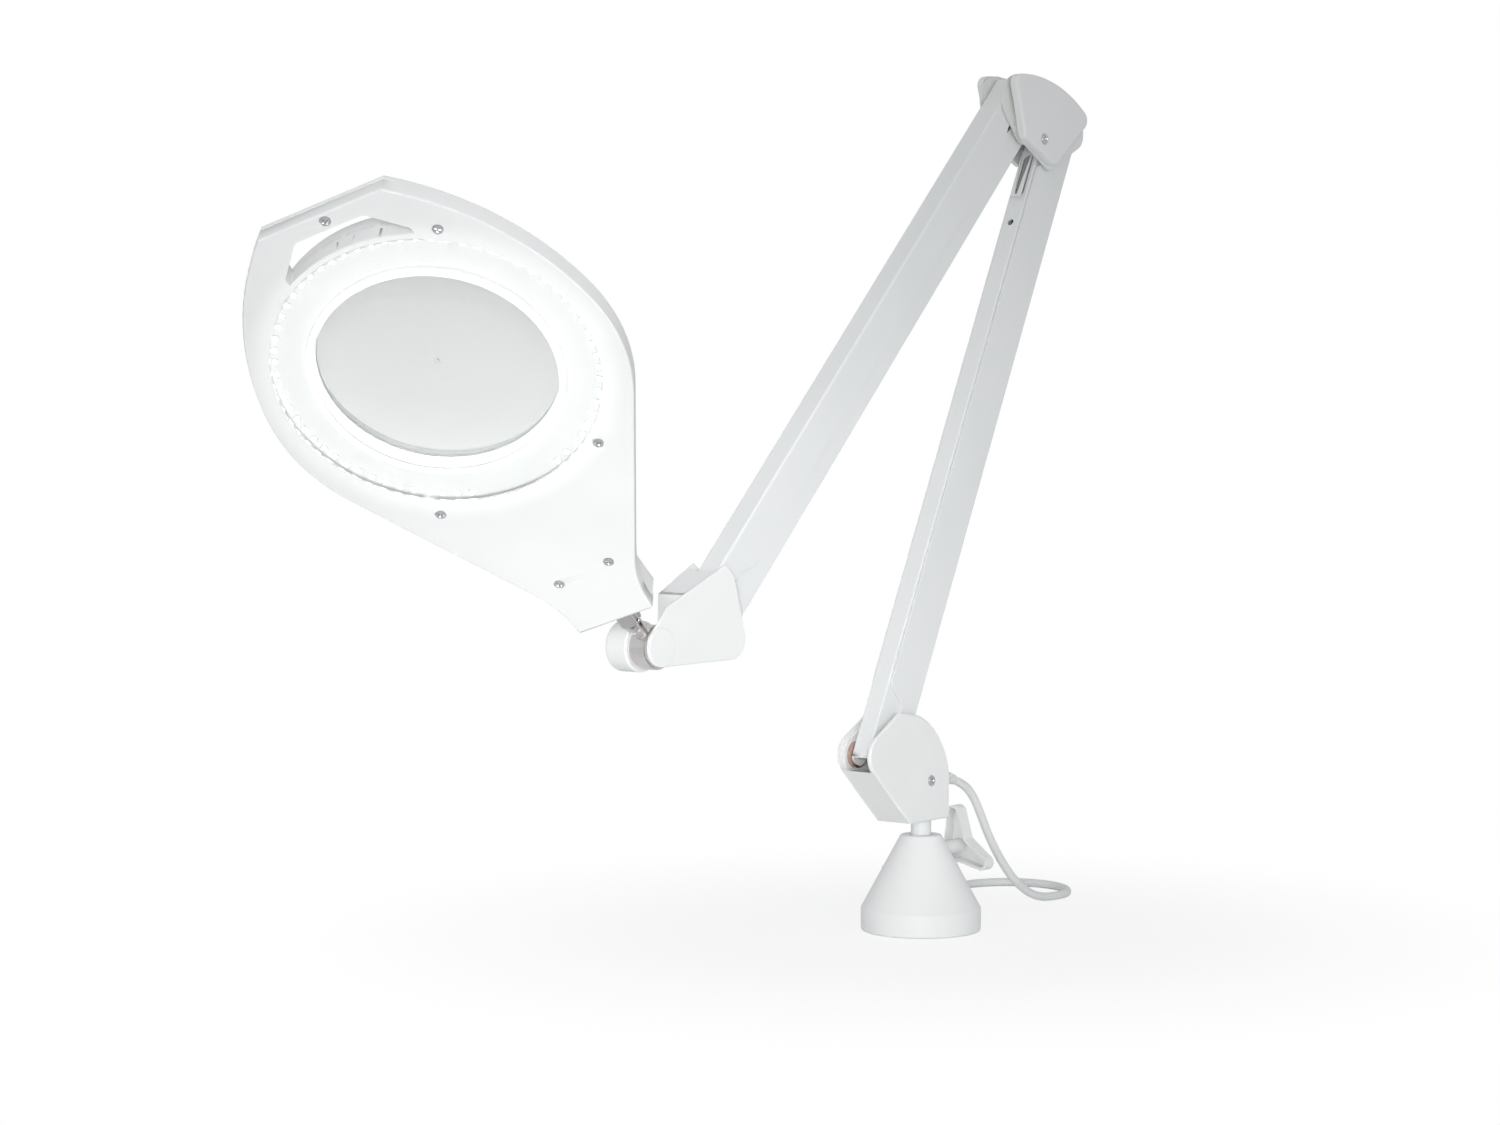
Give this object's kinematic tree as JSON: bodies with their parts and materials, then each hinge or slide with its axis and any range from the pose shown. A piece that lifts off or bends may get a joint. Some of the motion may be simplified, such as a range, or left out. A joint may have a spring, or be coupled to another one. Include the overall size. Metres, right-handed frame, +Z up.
{
  "type": "swing arm magnifier desk lamp",
  "caption": "White spring-balanced swing arm lamp with a round magnifying lens ringed by LEDs, on a small conical screw-down base.",
  "frame": {"origin": "centre of the base's fixing screw circle, on the surface that the base is screwed to", "axes": "+Z up; -X the side that the arms reach to and the head is on; +X the back, where the mains cord leaves; -Y the near side with the tilt pivot boss"},
  "size_m": [0.7174, 0.202, 0.5385],
  "materials": {
    "white_shell": "semi-gloss moulded shell",
    "knob_plastic": "satin moulded knob",
    "white_paint": "smooth powder coat",
    "cast_base": "painted casting",
    "spring_steel": "drawn wire",
    "bright_steel": "zinc plated",
    "chrome_strap": "polished",
    "neck_steel": "satin",
    "nylon": "plain",
    "lens_glass": "polished",
    "clear_cover": "frosted",
    "circuit_board": "solder mask",
    "led": "phosphor",
    "switch_plastic": "satin",
    "cord_sheath": "soft vinyl sheath",
    "plug_plastic": "satin"
  },
  "bodies": {
    "base": {"base_socket": "cast_base", "cone_cover": "white_shell", "cord_run": "cord_sheath", "cord_hank": "cord_sheath", "cord_tie": "cord_sheath", "mains_plug": "plug_plastic"},
    "clamp_knob": {"clamp_knob": "knob_plastic"},
    "turret": {"turret_bracket": "white_paint", "turret_cover_near": "white_shell", "turret_cover_far": "white_shell", "turret_screws": "bright_steel", "turret_pivot_pins": "bright_steel", "turret_washers": "nylon", "cord_gland": "cord_sheath", "cord_drop": "cord_sheath"},
    "lower_arm": {"lower_outer_channel": "white_paint", "lower_spring": "spring_steel"},
    "lower_link": {"lower_inner_channel": "white_paint"},
    "elbow": {"elbow_bracket": "white_paint", "elbow_cap_near": "white_shell", "elbow_cap_far": "white_shell", "elbow_liner": "nylon", "elbow_screws": "bright_steel", "elbow_pivot_pins": "bright_steel", "elbow_washers": "nylon"},
    "upper_arm": {"upper_outer_channel": "white_paint", "upper_spring": "spring_steel"},
    "upper_link": {"upper_inner_channel": "white_paint"},
    "wrist": {"wrist_bracket": "white_paint", "wrist_cover_near": "white_shell", "wrist_cover_far": "white_shell", "wrist_pivot_pins": "bright_steel", "wrist_washers": "nylon", "tilt_plate": "white_paint", "tilt_spindle": "bright_steel", "tilt_drum": "chrome_strap", "tilt_washer": "nylon"},
    "tilt_knob": {"tilt_knob": "knob_plastic"},
    "neck": {"tilt_strap": "chrome_strap", "strap_screw": "bright_steel", "neck_stem": "neck_steel", "stem_clip": "bright_steel"},
    "head": {"head_lower_shell": "white_shell", "head_upper_shell": "white_shell", "neck_bush": "nylon", "magnifier_lens": "lens_glass", "lens_retainer": "white_shell", "led_cover": "clear_cover", "led_board": "circuit_board", "led_emitters": "led", "driver_board": "circuit_board", "head_screws": "bright_steel", "switch_body": "switch_plastic", "lid_hinge": "white_shell"},
    "lens_lid": {"lens_lid": "white_shell"},
    "switch_rocker": {"switch_rocker": "switch_plastic"}
  },
  "joints": [
    {"name": "clamp_turn", "type": "hinge", "parent": "base", "child": "clamp_knob", "pos_m": [0.036, 0, 0.0485], "axis": [1, 0, 0], "continuous": true},
    {"name": "turret_turn", "type": "hinge", "parent": "base", "child": "turret", "pos_m": [0, 0, 0.06], "axis": [0, 0, 1], "range_deg": [-110, 110]},
    {"name": "lower_arm_lean", "type": "hinge", "parent": "turret", "child": "lower_arm", "pos_m": [-0.034, 0, 0.114], "axis": [0, 1, 0], "range_deg": [-60.3, 4.7]},
    {"name": "lower_link_swing", "type": "hinge", "parent": "turret", "child": "lower_link", "pos_m": [-0.055, 0, 0.114], "axis": [0, 1, 0], "range_deg": [-60.3, 4.7]},
    {"name": "elbow_level", "type": "hinge", "parent": "lower_arm", "child": "elbow", "pos_m": [0.15062, 0, 0.50456], "axis": [0, 1, 0], "range_deg": [-4.7, 60.3]},
    {"name": "upper_arm_lean", "type": "hinge", "parent": "elbow", "child": "upper_arm", "pos_m": [0.09212, 0, 0.52906], "axis": [0, 1, 0], "range_deg": [-2.9, 56.1]},
    {"name": "upper_link_swing", "type": "hinge", "parent": "elbow", "child": "upper_link", "pos_m": [0.09912, 0, 0.50506], "axis": [0, 1, 0], "range_deg": [-2.9, 56.1]},
    {"name": "wrist_level", "type": "hinge", "parent": "upper_arm", "child": "wrist", "pos_m": [-0.20743, 0, 0.21779], "axis": [0, 1, 0], "range_deg": [-56.1, 2.9]},
    {"name": "tilt_knob_turn", "type": "hinge", "parent": "wrist", "child": "tilt_knob", "pos_m": [-0.25843, 0, 0.19159], "axis": [0, 1, 0], "continuous": true},
    {"name": "head_tilt", "type": "hinge", "parent": "wrist", "child": "neck", "pos_m": [-0.25843, 0, 0.19159], "axis": [0, 1, 0], "range_deg": [-84.3, 35.7]},
    {"name": "head_roll", "type": "hinge", "parent": "neck", "child": "head", "pos_m": [-0.25843, -0.0049, 0.19159], "axis": [-0.7157, 0, 0.6984], "range_deg": [-87.5, 32.5]},
    {"name": "lid_swing", "type": "hinge", "parent": "head", "child": "lens_lid", "pos_m": [-0.35852, -0.00028, 0.30165], "axis": [-0.3225, 0.887, -0.3305], "range_deg": [0, 105]},
    {"name": "switch_rock", "type": "hinge", "parent": "head", "child": "switch_rocker", "pos_m": [-0.32219, 0.00092, 0.26943], "axis": [0.3225, -0.887, 0.3305], "range_deg": [-7, 7]}
  ],
  "couplings": [
    {"joint": "lower_link_swing", "follows": "lower_arm_lean", "ratio": 1},
    {"joint": "elbow_level", "follows": "lower_arm_lean", "ratio": -1},
    {"joint": "upper_link_swing", "follows": "upper_arm_lean", "ratio": 1},
    {"joint": "wrist_level", "follows": "upper_arm_lean", "ratio": -1}
  ]
}
